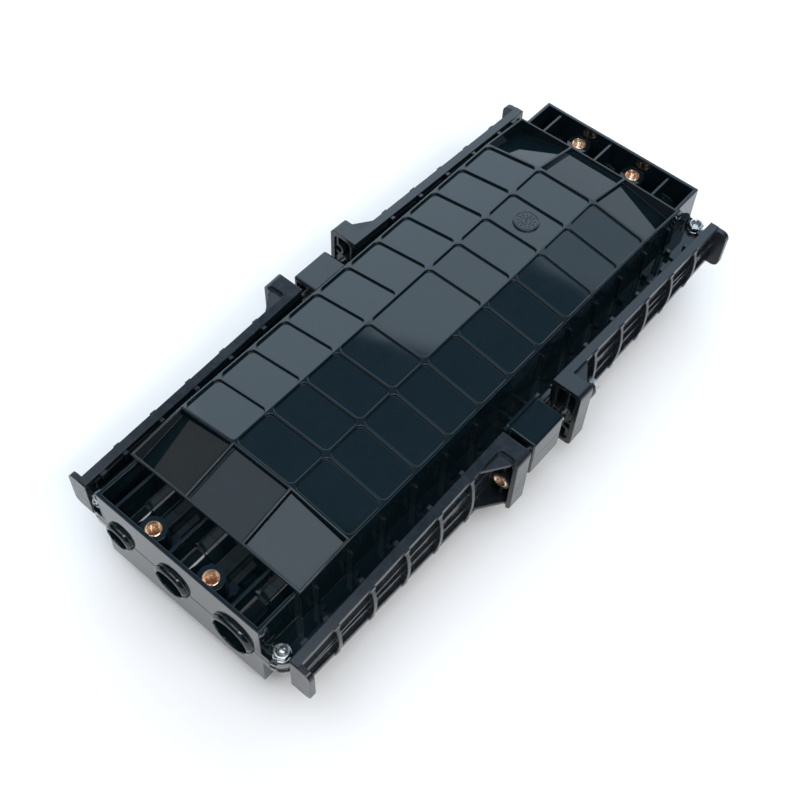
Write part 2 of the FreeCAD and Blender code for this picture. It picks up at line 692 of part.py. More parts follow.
# Fine groove along the parting line of the end faces, between the ports.
seams = []
seam_ends = [-(d.flange_half_w + 1)]
for tag, y, r in reversed(ports):
    seam_ends += [y - r - 1.1, y + r + 1.1]
seam_ends.append(d.flange_half_w + 1)
for k in range(0, len(seam_ends), 2):
    seams.append(box("seam_far_%d" % k, d.half_len - 1, d.half_len + 6, seam_ends[k],
                     seam_ends[k + 1], -1, d.seam))
    seams.append(box("seam_near_%d" % k, -(d.half_len + 6), 1 - d.half_len, seam_ends[k],
                     seam_ends[k + 1], -1, d.seam))
# Raised disc in one cell.
marks = [post("disc_mark", 9.2, d.row_pitch * 3.5, 0, d.crown - d.cell_deep - 1,
              d.crown - d.cell_deep + 1.2)]

shell_skin = cut("shell_cells", outline, [mid_cells, double_cell] + side_cells)
shell_solid = fuse("shell_solid", [shell_skin, flange, one_end, other_end, one_side,
                                   other_side] + pads + marks)
upper = cut("upper_shell", shell_solid, [hollow, end_cuts, far_cuts] + stud_holes + grooves
            + seams)
doc.recompute()
node("upper_shell", upper)

# The lower shell is the mirror image, with four pillars for the trays.
lower_skin = mirror("lower_skin", shell_solid, Vector(0, 0, 1))
lower_cuts = mirror("lower_cuts", upper.Tool, Vector(0, 0, 1))
lower_open = cut("lower_open", lower_skin, [lower_cuts])
pillars, pilots = [], []
for sx in (1, -1):
    for sy in (1, -1):
        tag = "%d%d" % (sx + 1, sy + 1)
        pillars.append(post("pillar_" + tag, d.pillar_r, sx * d.pillar_x, sy * d.pillar_y,
                            -(eave + facet_rise * 0.75), d.pillar_top))
        pilots.append(post("pilot_" + tag, 2.0, sx * d.pillar_x, sy * d.pillar_y,
                           d.pillar_top - 9, d.pillar_top + 1))
lower = cut("lower_shell", fuse("lower_full", [lower_open] + pillars), pilots)
node("lower_shell", lower)

# ---------------------------------------------------------------- seals
for name, s in (("seal_cord_left", 1), ("seal_cord_right", -1)):
    body = new_body(name)
    y = s * d.seal_y
    hw, hz = d.seal_w / 2 - 0.1, d.seal_deep - 0.1
    cord = pad(body, name + "_pad",
               polygon(body, name + "_outline", "YZ_Plane",
                       [(y - hw, -hz), (y + hw, -hz), (y + hw, hz), (y - hw, hz)]),
               (d.seal_half - 0.2) * 2, both=True)
    doc.recompute()
    f = body.newObject("PartDesign::Fillet", name + "_round")
    f.Base = (cord, ["Edge%d" % i for i, e in enumerate(cord.Shape.Edges, 1)
                     if runs_along(e, 0)])
    bind(f, "Radius", 1.2)
    node(name, body)


# ---------------------------------------------------------------- clamp rails
def lay_rail(name, s, lug_face):
    """Left-hand rail on the side s of the middle, its lug face lug_face away."""
    def bx(tag, x0, x1, y0, y1, z0, z1):
        if s > 0:
            return box(name + tag, x0, x1, y0, y1, z0, z1)
        return box(name + tag, -Size.of(x1), -Size.of(x0), y0, y1, z0, z1)

    def bar(tag, x0, x1, y0, y1, low, high):
        """Bar that follows the falling height of the rail."""
        x0, x1 = Size.of(x0), Size.of(x1)
        if s > 0:
            return ramp(name + tag, x0, x1, y0, y1, low(x0), high(x0), low(x1), high(x1))
        return ramp(name + tag, -x1, -x0, y0, y1, low(x1), high(x1), low(x0), high(x0))

    def turned(tag, radius, x0, x1, y, z=0):
        if s > 0:
            return rod(name + tag, radius, x0, x1, y, z)
        return rod(name + tag, radius, -Size.of(x1), -Size.of(x0), y, z)

    lug_end = lug_face + d.lug_thick
    x_in = lug_end - 3
    x_out = d.rail_end + d.rail_end_thick - 0.6
    items = [
        bar("_top", x_in, x_out, d.rail_in, d.rail_out,
            lambda x: rail_half(x) - d.rail_plate, rail_half),
        bar("_base", x_in, x_out, d.rail_in, d.rail_out,
            lambda x: -rail_half(x), lambda x: d.rail_plate - rail_half(x)),
        bar("_web", x_in, x_out, d.rail_web_in, d.rail_web_in + d.rail_web,
            lambda x: 1 - rail_half(x), lambda x: rail_half(x) - 1),
        bar("_fin_up", x_in, x_out, d.rail_web_in + 1, d.rail_out - 0.4,
            lambda x: rail_half(x) - d.fin_sink - d.fin_thick / 2,
            lambda x: rail_half(x) - d.fin_sink + d.fin_thick / 2),
        bar("_fin_down", x_in, x_out, d.rail_web_in + 1, d.rail_out - 0.4,
            lambda x: d.fin_sink - rail_half(x) - d.fin_thick / 2,
            lambda x: d.fin_sink - rail_half(x) + d.fin_thick / 2),
    ]
    hooks = []
    for k in range(5):
        x = d.rail_rib_first + k * d.rail_rib_pitch
        high = rail_half(x)
        flat = bx("_rib%d" % k, x - d.rail_rib_w / 2, x + d.rail_rib_w / 2,
                  d.rail_web_in + 1, d.rail_out + 8, 0.2 - high, high - 0.2)
        bow = (high * high + d.rail_bulge * d.rail_bulge) / (d.rail_bulge * 2)
        drum = turned("_drum%d" % k, bow, x - d.rail_rib_w, x + d.rail_rib_w,
                      d.rail_out + d.rail_bulge - bow)
        items.append(common(name + "_bowed%d" % k, flat, drum))
        hooks.append(("%d" % k, x, 1.5))
        # Small bump of the rib on the outer edge of the strip.
        for zs, tag in ((1, "u"), (-1, "d")):
            z0 = high - d.rail_plate if zs > 0 else 0.3 - high
            z1 = high - 0.3 if zs > 0 else d.rail_plate - high
            items.append(bx("_bump%d%s" % (k, tag), x - 2.2, x + 2.2, d.rail_out - 1,
                            d.rail_out + 0.9, z0, z1))
    hooks.append(("last", d.hook_last, 2.2))
    for mark, x, half in hooks:
        high = rail_half(x + half) - 0.5
        for zs, tag in ((1, "u"), (-1, "d")):
            z0, z1 = (d.hook_deep, high) if zs > 0 else (-high, -d.hook_deep)
            items.append(bx("_hook%s%s" % (mark, tag), x - half, x + half, d.hook_in,
                            d.hook_out, z0, z1))
            z0, z1 = (high - 2.8, high) if zs > 0 else (-high, 2.8 - high)
            items.append(bx("_arm%s%s" % (mark, tag), x - half, x + half, d.hook_in,
                            d.rail_in + 1, z0, z1))
    doc.recompute()
    plate = bx("_plate", d.rail_end, d.rail_end + d.rail_end_thick, d.rail_in + 0.2,
               d.rail_end_out, -d.rail_end_top, d.rail_end_top)
    items.append(rounded(name + "_plate_round", plate, 5.5,
                         lambda e: runs_along(e, 0) and e.CenterOfMass.y > 95))
    lug = bar("_lug", lug_face, lug_end, d.rail_in, d.lug_out, lambda x: -rail_half(x),
              rail_half)
    lug = rounded(name + "_lug_round", lug, d.lug_round.value,
                  lambda e: e.CenterOfMass.y > 107 and abs(e.CenterOfMass.z) > 20)
    near = s < 0
    # The near lugs are open towards the end, the far lugs towards the middle.
    if near:
        p0, p1 = lug_face + 4, lug_end + 1
    else:
        p0, p1 = lug_face - 1, lug_end - 4
    inner = rail_half(lug_end) - (4 if near else 2.6)
    pocket_box = bx("_lug_pocket", p0, p1, d.rail_web_in + d.rail_web + (1.2 if near else 0.2),
                    d.lug_out - d.lug_wall, -inner, inner)
    doc.recompute()
    pocket_box = rounded(name + "_pocket_round", pocket_box, 4.0, lambda e: runs_along(e, 0))
    openers = [pocket_box]
    if near:
        # Curved step at the back of the near lugs, down to the slanted gussets.
        for zs, tag in ((1, "up"), (-1, "down")):
            z0, z1 = (d.lug_gusset_z + 1.2, 34) if zs > 0 else (-34, -(d.lug_gusset_z + 1.2))
            step = bx("_step_" + tag, lug_end - 3, lug_end + 6, d.rail_out,
                      d.lug_out - d.lug_wall, z0, z1)
            doc.recompute()
            openers.append(rounded(name + "_step_round_" + tag, step, 2.9,
                                   lambda e: runs_along(e, 2)))
    lug = cut(name + "_lug_open", lug, openers)
    b0, b1 = (lug_face + 0.5, lug_end + 0.8) if near else (lug_face + 1.2, d.far_boss)
    boss = turned("_boss", d.boss_r, b0, b1, d.bolt_y)
    bore = d.bolt_r + 0.6 if near else d.bolt_bore_r
    hole = turned("_bolt_hole", bore, b0 - 5, b1 + 5, d.bolt_y)
    rib_v = bx("_lug_rib_v", lug_face + 1.5, lug_end - 1.5, d.bolt_y - 1, d.bolt_y + 1,
               -(inner + 1), inner + 1 if near else 0)
    rib_h = bx("_lug_rib_h", lug_face + 1.5, lug_end - 1.5, d.rail_web_in + 2,
               d.lug_out - 1, -1, 1)
    items += [lug, boss, rib_v, rib_h]
    tools = [hole]
    if not near:
        # Spare ring beside the bolt boss, with a strut to the corner of the lug.
        items.append(turned("_ring", d.ring_r, lug_face + 1.2, lug_end - 1, d.ring_y, d.ring_z))
        items.append(bx("_strut", lug_face + 1.2, lug_end - 1, d.ring_y - 0.2, d.ring_y + 2.0,
                        d.ring_z, inner + 1))
        tools.append(turned("_ring_hole", d.ring_hole, lug_face - 1, lug_end - 3.5, d.ring_y,
                            d.ring_z))
    # Slanted gussets from the strip to the back of the lug.
    for zs, tag in ((1, "up"), (-1, "down")):
        z0 = zs * d.lug_gusset_z - 1.2
        root = lug_end - 4 if near else lug_end - 0.5
        foot = d.lug_gusset_foot
        if s > 0:
            items.append(wedge(name + "_gusset_" + tag, root, foot,
                               d.rail_web_in + 1, d.lug_gusset, z0, z0 + 2.4,
                               root, lug_end + 0.5))
        else:
            items.append(wedge(name + "_gusset_" + tag, -foot, -root,
                               d.rail_web_in + 1, d.lug_gusset, z0, z0 + 2.4,
                               -(lug_end + 0.5), -root))
    whole = fuse(name + "_whole", items)
    slot_half = rail_half(lug_face) - d.rail_plate + 0.1
    tools.append(bx("_lip_slot", lug_face - 1, lug_end + 1, d.rail_in - 2, d.rail_web_in,
                    -slot_half, slot_half))
    if near:
        tools.append(rod(name + "_insert_hole", d.insert_r, -(b1 + 5), -(lug_face + 3),
                         d.bolt_y))
    return cut(name + "_left", whole, tools)


near_rail = lay_rail("near", -1, d.near_lug)
far_rail = lay_rail("far", 1, d.far_lug)
doc.recompute()
node("clamp_rail_near_left", near_rail)
node("clamp_rail_far_left", far_rail)
for label, source in (("clamp_rail_near_right", near_rail), ("clamp_rail_far_right", far_rail)):
    # The same moulding turned over about the long axis, then raised.
    twin_rail = doc.addObject("Part::Cut", label + "_whole")
    twin_rail.Base, twin_rail.Tool = source.Base, source.Tool
    twin_rail.Refine = True
    turned_rail = mirror(label + "_turned", twin_rail, Vector(0, 0, 1))
    node(label, mirror(label, turned_rail, Vector(0, 1, 0)))

# ---------------------------------------------------------------- clamp bolts
for label, s in (("left", 1), ("right", -1)):
    y = s * d.bolt_y
    head_at = d.far_boss + d.washer_thick + 0.1
    hexagon = doc.addObject("Part::Prism", "bolt_head_" + label)
    hexagon.Polygon = 6
    bind(hexagon, "Circumradius", d.head_r)
    bind(hexagon, "Height", d.head_thick)
    place(hexagon, head_at, y, 0, ALONG_X)
    dome = doc.addObject("Part::Cone", "bolt_dome_" + label)
    bind(dome, "Radius1", d.head_r + 0.9)
    bind(dome, "Radius2", d.head_r - 0.9)
    bind(dome, "Height", d.head_thick)
    place(dome, head_at, y, 0, ALONG_X)
    head = common("bolt_hex_" + label, hexagon, dome)
    shank = rod("bolt_shank_" + label, d.bolt_r, d.bolt_tip + 0.8, head_at + 1, y)
    tip = doc.addObject("Part::Cone", "bolt_tip_" + label)
    bind(tip, "Radius1", d.bolt_r - 0.8)
    bind(tip, "Radius2", d.bolt_r)
    bind(tip, "Height", 0.8)
    place(tip, d.bolt_tip, y, 0, ALONG_X)
    node("clamp_bolt_" + label, fuse("clamp_bolt_" + label, [head, shank, tip]))

    ring = rod("washer_disc_" + label, d.washer_r, d.far_boss, head_at - 0.1, y)
    hole = rod("washer_hole_" + label, d.bolt_r + 0.35, d.far_boss - 1, head_at + 1, y)
    node("bolt_washer_" + label, cut("bolt_washer_" + label, ring, [hole]))

    back = -(d.near_lug + d.lug_thick + 1.4)
    sleeve = rod("insert_sleeve_" + label, d.insert_r - 0.02, back, -(d.near_lug + 3.1), y)
    bore = rod("insert_bore_" + label, d.bolt_bore_r, back - 1, -d.near_lug, y)
    flare = doc.addObject("Part::Cone", "insert_flare_" + label)
    bind(flare, "Radius1", d.bolt_bore_r + 1.1)
    bind(flare, "Radius2", d.bolt_bore_r)
    bind(flare, "Height", 1.4)
    place(flare, back, y, 0, ALONG_X)
    node("rail_insert_" + label, cut("rail_insert_" + label, sleeve, [bore, flare]))

# ---------------------------------------------------------------- inserts
for label, zs in (("hanger_inserts_top", 1), ("hanger_inserts_bottom", -1)):
    pieces = []
    for sx in (1, -1):
        for tag, y in (("one", d.hang_y_one), ("two", d.hang_y_two)):
            mark = "%s_%s_%d" % (label, tag, sx + 1)
            x = sx * d.hang_x
            top = d.hang_top + 0.4
            low = d.hang_top - d.hang_len
            if zs > 0:
                body = post(mark + "_body", d.hang_r - 0.02, x, y, low, top)
                bore = post(mark + "_bore", d.hang_bore_r, x, y, low + 1.5, top + 1)
            else:
                body = post(mark + "_body", d.hang_r - 0.02, x, y, -top, -low)
                bore = post(mark + "_bore", d.hang_bore_r, x, y, -(top + 1), -(low + 1.5))
            pieces.append(cut(mark, body, [bore]))
    node(label, group(label, pieces))

# ---------------------------------------------------------------- corner fasteners
bolts, nuts = [], []
for sx in (1, -1):
    for sy in (1, -1):
        tag = "%d%d" % (sx + 1, sy + 1)
        x, y = sx * d.stud_x, sy * d.stud_y
        top = d.flange_thick
        # The ends at the far side stop inside the nut.
        reach = top + 6.6 if sx < 0 else top + 3.0
        stud = post("stud_" + tag, d.stud_r - 0.05, x, y, -(top + 1), reach)
        if sx < 0:
            stud = rounded("stud_end_" + tag, stud, 1.6,
                           lambda e, z=reach.value: abs(e.CenterOfMass.z - z) < 1e-6
                           and e.Curve.TypeId == "Part::GeomCircle")
        head = doc.addObject("Part::Prism", "stud_head_" + tag)
        head.Polygon = 6
        bind(head, "Circumradius", d.head_r)
        bind(head, "Height", 4.0)
        place(head, x, y, -(top + 4.0))
        bolts.append(fuse("corner_bolt_" + tag, [stud, head]))
        nut = doc.addObject("Part::Prism", "nut_hex_" + tag)
        nut.Polygon = 6
        bind(nut, "Circumradius", d.head_r)
        bind(nut, "Height", 5.4)
        place(nut, x, y, top)
        dome = doc.addObject("Part::Cone", "nut_dome_" + tag)
        bind(dome, "Radius1", d.head_r + 1.0)
        bind(dome, "Radius2", d.head_r - 0.8)
        bind(dome, "Height", 5.4)
        place(dome, x, y, top)
        # The thin flange that the hexagon stands on.
        rim = post("nut_rim_" + tag, d.head_r + 0.1, x, y, top, top + 1.1)
        hole = post("nut_hole_" + tag, d.stud_r - 0.03, x, y, top - 1, top + 8)
        nuts.append(cut("corner_nut_" + tag,
                        fuse("nut_full_" + tag, [common("nut_" + tag, nut, dome), rim]),
                        [hole]))
node("corner_bolts", group("corner_bolts", bolts))
node("corner_nuts", group("corner_nuts", nuts))

# ---------------------------------------------------------------- tray bracket
bracket = new_body("tray_bracket")
plate_pad = pad(bracket, "bracket_pad",
                rectangle(bracket, "bracket_outline", "XY_Plane", d.plate_half,
                          d.plate_half_w, d.pillar_top), d.plate_thick)
upright_fillet(bracket, "bracket_corners", plate_pad, 6)
pocket(bracket, "bracket_holes",
       circles(bracket, "bracket_hole_outline", "XY_Plane",
               [(sx * d.pillar_x, sy * d.pillar_y, 2.2) for sx in (1, -1) for sy in (1, -1)],
               d.pillar_top + d.plate_thick), 6)
pocket(bracket, "bracket_lightening",
       circles(bracket, "bracket_light_outline", "XY_Plane",
               [(x, 0, 16) for x in (-80, -40, 0, 40, 80)],
               d.pillar_top + d.plate_thick), 6)
node("tray_bracket", bracket)
screws = []
for sx in (1, -1):
    for sy in (1, -1):
        tag = "%d%d" % (sx + 1, sy + 1)
        x, y = sx * d.pillar_x, sy * d.pillar_y
        seat = d.pillar_top + d.plate_thick
        screws.append(fuse("bracket_screw_" + tag,
                           [post("bracket_screw_head_" + tag, 3.6, x, y, seat, seat + 2.2),
                            post("bracket_screw_pin_" + tag, 1.95, x, y,
                                 d.pillar_top - 7, seat + 1)]))
node("bracket_screws", group("bracket_screws", screws))

# ---------------------------------------------------------------- trays
combs = []
for k in range(3):
    name = "splice_tray_%d" % (k + 1)
    base = d.tray_first + k * d.tray_pitch
    body = new_body(name)
    block = pad(body, name + "_pad",
                rectangle(body, name + "_outline", "XY_Plane", d.tray_half, d.tray_half_w,
                          base), d.tray_high)
    upright_fillet(body, name + "_corners", block, 18)
    pocket(body, name + "_well",
           rectangle(body, name + "_well_outline", "XY_Plane", d.tray_half - 20,
                     d.tray_half_w - d.tray_skin, base + d.tray_high), d.tray_high - d.tray_skin)
    pocket(body, name + "_ends",
           rectangle(body, name + "_end_outline", "XY_Plane", d.tray_half - d.tray_skin,
                     d.tray_half_w - 20, base + d.tray_high), d.tray_high - d.tray_skin)
    hubs = pad(body, name + "_hubs",
               circles(body, name + "_hub_outline", "XY_Plane",
                       [(-95, 0, 24), (95, 0, 24)], base + d.tray_skin - 0.4),
               d.tray_high - d.tray_skin - 0.6)
    pocket(body, name + "_hub_wells",
           circles(body, name + "_hub_well_outline", "XY_Plane",
                   [(-95, 0, 22), (95, 0, 22)], base + d.tray_high),
           d.tray_high - d.tray_skin)
    node(name, body)
    for s, tag in ((1, "left"), (-1, "right")):
        mark = "comb_%d_%s" % (k + 1, tag)
        floor = base + d.tray_skin
        block = box(mark + "_block", -32, 32, s * 24 - 12, s * 24 + 12, floor, floor + 6)
        slots = [box("%s_slot%d" % (mark, i), -40, 40, s * 24 - 10.5 + i * 3.6,
                     s * 24 - 8.1 + i * 3.6, floor + 1.4, floor + 8) for i in range(6)]
        combs.append(cut(mark, block, slots))
node("splice_combs", group("splice_combs", combs))

lid = new_body("tray_cover")
lid_z = d.tray_first + 3 * d.tray_pitch
lid_pad = pad(lid, "cover_pad", rectangle(lid, "cover_outline", "XY_Plane", d.tray_half,
                                          d.tray_half_w, lid_z), 1.5)
upright_fillet(lid, "cover_corners", lid_pad, 18)
node("tray_cover", lid)

band_out = box("strap_out", 50, 72, -(d.tray_half_w + 2), d.tray_half_w + 2,
               d.pillar_top - 1.6, lid_z + 3.2)
band_in = box("strap_in", 45, 77, -(d.tray_half_w + 0.6), d.tray_half_w + 0.6,
              d.pillar_top - 0.4, lid_z + 2.0)
node("tray_strap", cut("tray_strap", band_out, [band_in]))

# ---------------------------------------------------------------- strength members
plates, bolts_in = [], []
for sx in (1, -1):
    for tag, y, r in ports:
        mark = "strength_%s_%d" % (tag, sx + 1)
        x, y = sx * 160, y * 0.75
        seat = d.pillar_top + d.plate_thick
        bar = box(mark + "_bar", x - 7, x + 7, y - 6, y + 6, seat, seat + 3)
        hole = post(mark + "_hole", 2.1, x, y, seat - 1, seat + 5)
        plates.append(cut(mark + "_plate", bar, [hole]))
        bolts_in.append(fuse(mark + "_screw",
                             [post(mark + "_head", 3.8, x, y, seat + 3, seat + 5.6),
                              post(mark + "_pin", 2.0, x, y, seat, seat + 4)]))
node("strength_clamps", group("strength_clamps", plates))
node("strength_screws", group("strength_screws", bolts_in))

# ---------------------------------------------------------------- write
doc.recompute()
bad = [o.Name for o in doc.Objects if "Invalid" in o.State or "Error" in o.State]
if bad:
    raise RuntimeError("failed objects: " + ", ".join(bad))
os.makedirs("parts", exist_ok=True)
for name, obj in nodes:
    shape = obj.Shape
    if shape.isNull() or not shape.isValid() or not shape.Solids:
        raise RuntimeError("bad shape: " + name)
for name, obj in nodes:
    obj.Shape.exportStep("parts/%s.step" % name)
    b = obj.Shape.BoundBox
    print("%-24s solids %2d  volume %9.1f  box %7.1f %7.1f %7.1f  %7.1f %7.1f %7.1f" % (
        name, len(obj.Shape.Solids), obj.Shape.Volume, b.XMin, b.YMin, b.ZMin,
        b.XMax, b.YMax, b.ZMax))
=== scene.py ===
"""Looks of the fibre splice closure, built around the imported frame."""
import json
import math

import bmesh
import bpy
from mathutils import Matrix, Vector


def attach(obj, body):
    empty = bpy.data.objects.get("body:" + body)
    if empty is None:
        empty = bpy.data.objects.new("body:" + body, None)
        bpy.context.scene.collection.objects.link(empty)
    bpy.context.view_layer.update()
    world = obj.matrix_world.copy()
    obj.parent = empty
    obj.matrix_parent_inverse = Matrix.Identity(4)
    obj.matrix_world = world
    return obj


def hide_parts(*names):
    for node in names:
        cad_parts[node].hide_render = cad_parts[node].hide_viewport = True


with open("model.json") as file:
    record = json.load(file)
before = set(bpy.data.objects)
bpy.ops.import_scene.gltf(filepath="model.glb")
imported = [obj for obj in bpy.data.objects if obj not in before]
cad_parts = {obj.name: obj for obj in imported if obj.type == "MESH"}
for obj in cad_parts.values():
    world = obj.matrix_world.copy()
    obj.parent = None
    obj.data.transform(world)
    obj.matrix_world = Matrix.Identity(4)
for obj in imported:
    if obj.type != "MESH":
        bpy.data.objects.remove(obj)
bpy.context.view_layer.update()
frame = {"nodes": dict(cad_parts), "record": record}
nodes = frame["nodes"]
scene = bpy.context.scene


# ------------------------------------------------------------------ node helpers
def new_material(name):
    mat = bpy.data.materials.new(name)
    mat.use_nodes = True
    tree = mat.node_tree
    tree.nodes.clear()
    out = tree.nodes.new("ShaderNodeOutputMaterial")
    bsdf = tree.nodes.new("ShaderNodeBsdfPrincipled")
    tree.links.new(bsdf.outputs["BSDF"], out.inputs["Surface"])
    return mat, tree, bsdf


def coords(tree, scale=(1, 1, 1)):
    """Object coordinates in metres, stretched by scale."""
    tex = tree.nodes.new("ShaderNodeTexCoord")
    if tuple(scale) == (1, 1, 1):
        return tex.outputs["Object"]
    mapping = tree.nodes.new("ShaderNodeMapping")
    mapping.inputs["Scale"].default_value = scale
    tree.links.new(tex.outputs["Object"], mapping.inputs["Vector"])
    return mapping.outputs["Vector"]


def noise(tree, vector, scale, detail=3.0, rough=0.5, distortion=0.0):
    n = tree.nodes.new("ShaderNodeTexNoise")
    n.inputs["Scale"].default_value = scale
    n.inputs["Detail"].default_value = detail
    n.inputs["Roughness"].default_value = rough
    n.inputs["Distortion"].default_value = distortion
    tree.links.new(vector, n.inputs["Vector"])
    return n.outputs["Fac"]


def span(tree, value, low, high, from_low=0.3, from_high=0.7):
    """value taken from one range to another, held at the ends."""
    m = tree.nodes.new("ShaderNodeMapRange")
    m.inputs["From Min"].default_value = from_low
    m.inputs["From Max"].default_value = from_high
    m.inputs["To Min"].default_value = low
    m.inputs["To Max"].default_value = high
    tree.links.new(value, m.inputs["Value"])
    return m.outputs["Result"]


def ramp(tree, value, stops):
    r = tree.nodes.new("ShaderNodeValToRGB")
    e = r.color_ramp.elements
    while len(e) < len(stops):
        e.new(0.5)
    for slot, (pos, colour) in zip(e, stops):
        slot.position = pos
        slot.color = (*colour, 1.0)
    tree.links.new(value, r.inputs["Fac"])
    return r.outputs["Color"]


def math_node(tree, operation, a, b):
    m = tree.nodes.new("ShaderNodeMath")
    m.operation = operation
    for socket, v in zip(m.inputs, (a, b)):
        if isinstance(v, (int, float)):
            socket.default_value = v
        else:
            tree.links.new(v, socket)
    return m.outputs["Value"]


def bump(tree, height, distance, strength=1.0, normal=None):
    b = tree.nodes.new("ShaderNodeBump")
    b.inputs["Distance"].default_value = distance
    b.inputs["Strength"].default_value = strength
    tree.links.new(height, b.inputs["Height"])
    if normal is not None:
        tree.links.new(normal, b.inputs["Normal"])
    return b.outputs["Normal"]


# ------------------------------------------------------------------ materials
def moulded(name, dark, light, rough, wave=0.00012, wave_scale=20.0, grain=0.000004,
            grain_scale=2600.0, dust=0.5, soft=None):
    """Moulded black plastic: slow waves of the surface, faint cloudy gloss, fine grain and
    a few specks of dust; soft is the radius of its softened edges."""
    mat, tree, bsdf = new_material(name)
    p = coords(tree)
    cloud = noise(tree, p, 34.0, 5.0, 0.55)
    film = noise(tree, p, 190.0, 4.0, 0.6, 0.4)
    mix = math_node(tree, "MULTIPLY", math_node(tree, "ADD", cloud, film), 0.5)
    colour = ramp(tree, mix, [(0.36, dark), (0.64, light)])
    gloss = span(tree, mix, rough[0], rough[1], 0.36, 0.64)
    # Specks: the small middles of a few of the cells.
    cells = tree.nodes.new("ShaderNodeTexVoronoi")
    cells.inputs["Scale"].default_value = 420.0
    tree.links.new(p, cells.inputs["Vector"])
    near = span(tree, cells.outputs["Distance"], 1.0, 0.0, 0.05, 0.10)
    pick = tree.nodes.new("ShaderNodeSeparateColor")
    tree.links.new(cells.outputs["Color"], pick.inputs["Color"])
    some = span(tree, pick.outputs["Red"], 0.0, dust, 0.90, 0.96)
    speck = math_node(tree, "MULTIPLY", near, some)
    blend = tree.nodes.new("ShaderNodeMix")
    blend.data_type = "RGBA"
    blend.inputs["B"].default_value = (0.10, 0.11, 0.12, 1)
    tree.links.new(speck, blend.inputs["Factor"])
    tree.links.new(colour, blend.inputs["A"])
    tree.links.new(blend.outputs["Result"], bsdf.inputs["Base Color"])
    tree.links.new(math_node(tree, "ADD", gloss, math_node(tree, "MULTIPLY", speck, 0.5)),
                   bsdf.inputs["Roughness"])
    edge = None
    if soft:
        rounding = tree.nodes.new("ShaderNodeBevel")
        rounding.samples = 6
        rounding.inputs["Radius"].default_value = soft
        edge = rounding.outputs["Normal"]
    slow = bump(tree, noise(tree, p, wave_scale, 1.0, 0.4), wave, 1.0, edge)
    fine = bump(tree, noise(tree, p, grain_scale, 2.0), grain, 1.0, slow)
    tree.links.new(fine, bsdf.inputs["Normal"])
    bsdf.inputs["IOR"].default_value = 1.52
    return mat


def metal(name, dark, light, rough, stretch=(1, 1, 1), scale=420.0, depth=0.000006, pure=1.0):
    mat, tree, bsdf = new_material(name)
    p = coords(tree, stretch)
    patch = noise(tree, p, scale * 0.22, 4.0, 0.6)
    line = noise(tree, p, scale, 3.0, 0.6)
    tree.links.new(ramp(tree, patch, [(0.34, dark), (0.62, light)]), bsdf.inputs["Base Color"])
    tree.links.new(span(tree, line, rough[0], rough[1]), bsdf.inputs["Roughness"])
    tree.links.new(bump(tree, line, depth), bsdf.inputs["Normal"])
    bsdf.inputs["Metallic"].default_value = pure
    return mat


def matte(name, dark, light, rough, scale=260.0, depth=0.00001):
    mat, tree, bsdf = new_material(name)
    p = coords(tree)
    patch = noise(tree, p, scale * 0.15, 4.0, 0.6)
    grain = noise(tree, p, scale * 6.0, 2.0, 0.6)
    tree.links.new(ramp(tree, patch, [(0.34, dark), (0.66, light)]), bsdf.inputs["Base Color"])
    tree.links.new(span(tree, grain, rough[0], rough[1]), bsdf.inputs["Roughness"])
    tree.links.new(bump(tree, grain, depth), bsdf.inputs["Normal"])
    return mat


def clear(name):
    mat, tree, bsdf = new_material(name)
    p = coords(tree)
    film = noise(tree, p, 60.0, 4.0, 0.6)
    tree.links.new(ramp(tree, film, [(0.3, (0.86, 0.90, 0.92)), (0.7, (0.95, 0.97, 0.98))]),
                   bsdf.inputs["Base Color"])
    tree.links.new(span(tree, film, 0.04, 0.14), bsdf.inputs["Roughness"])
    bsdf.inputs["Transmission Weight"].default_value = 0.9
    bsdf.inputs["IOR"].default_value = 1.5
    return mat


SHELL = moulded("shell_black", (0.0028, 0.0076, 0.0098), (0.0042, 0.0100, 0.0128),
                (0.022, 0.055), wave=0.00022, dust=0.2)
RAIL = moulded("rail_black", (0.0078, 0.0110, 0.0145), (0.0125, 0.0165, 0.0210),
               (0.17, 0.30), wave=0.00010, wave_scale=30.0, grain=0.000006, dust=0.12,
               soft=0.0007)
ZINC = metal("zinc_plate", (0.40, 0.40, 0.39), (0.68, 0.67, 0.65), (0.16, 0.32))
BRASS = metal("turned_brass", (0.74, 0.46, 0.29), (0.96, 0.72, 0.52), (0.14, 0.26), pure=0.88)
SHEET = metal("galvanised_sheet", (0.46, 0.47, 0.48), (0.66, 0.67, 0.68), (0.28, 0.46),
              scale=300.0)
RUBBER = matte("seal_black", (0.010, 0.010, 0.011), (0.022, 0.022, 0.023), (0.55, 0.8))
TRAY = matte("tray_grey", (0.60, 0.61, 0.60), (0.72, 0.73, 0.72), (0.38, 0.55))
COMB = matte("comb_blue", (0.06, 0.11, 0.24), (0.11, 0.18, 0.34), (0.35, 0.5))
COVER = clear("cover_clear_film")
BAND = matte("band_black", (0.012, 0.012, 0.013), (0.030, 0.030, 0.032), (0.40, 0.58))

FINISH = {
    "shell_plastic": SHELL, "rail_plastic": RAIL, "zinc_steel": ZINC, "insert_brass": BRASS,
    "bracket_steel": SHEET, "seal_rubber": RUBBER, "tray_plastic": TRAY,
    "comb_plastic": COMB, "cover_clear": COVER, "band_plastic": BAND,
}
slot_of = {s["node"]: s["material_slot"] for s in frame["record"]["subparts"]}


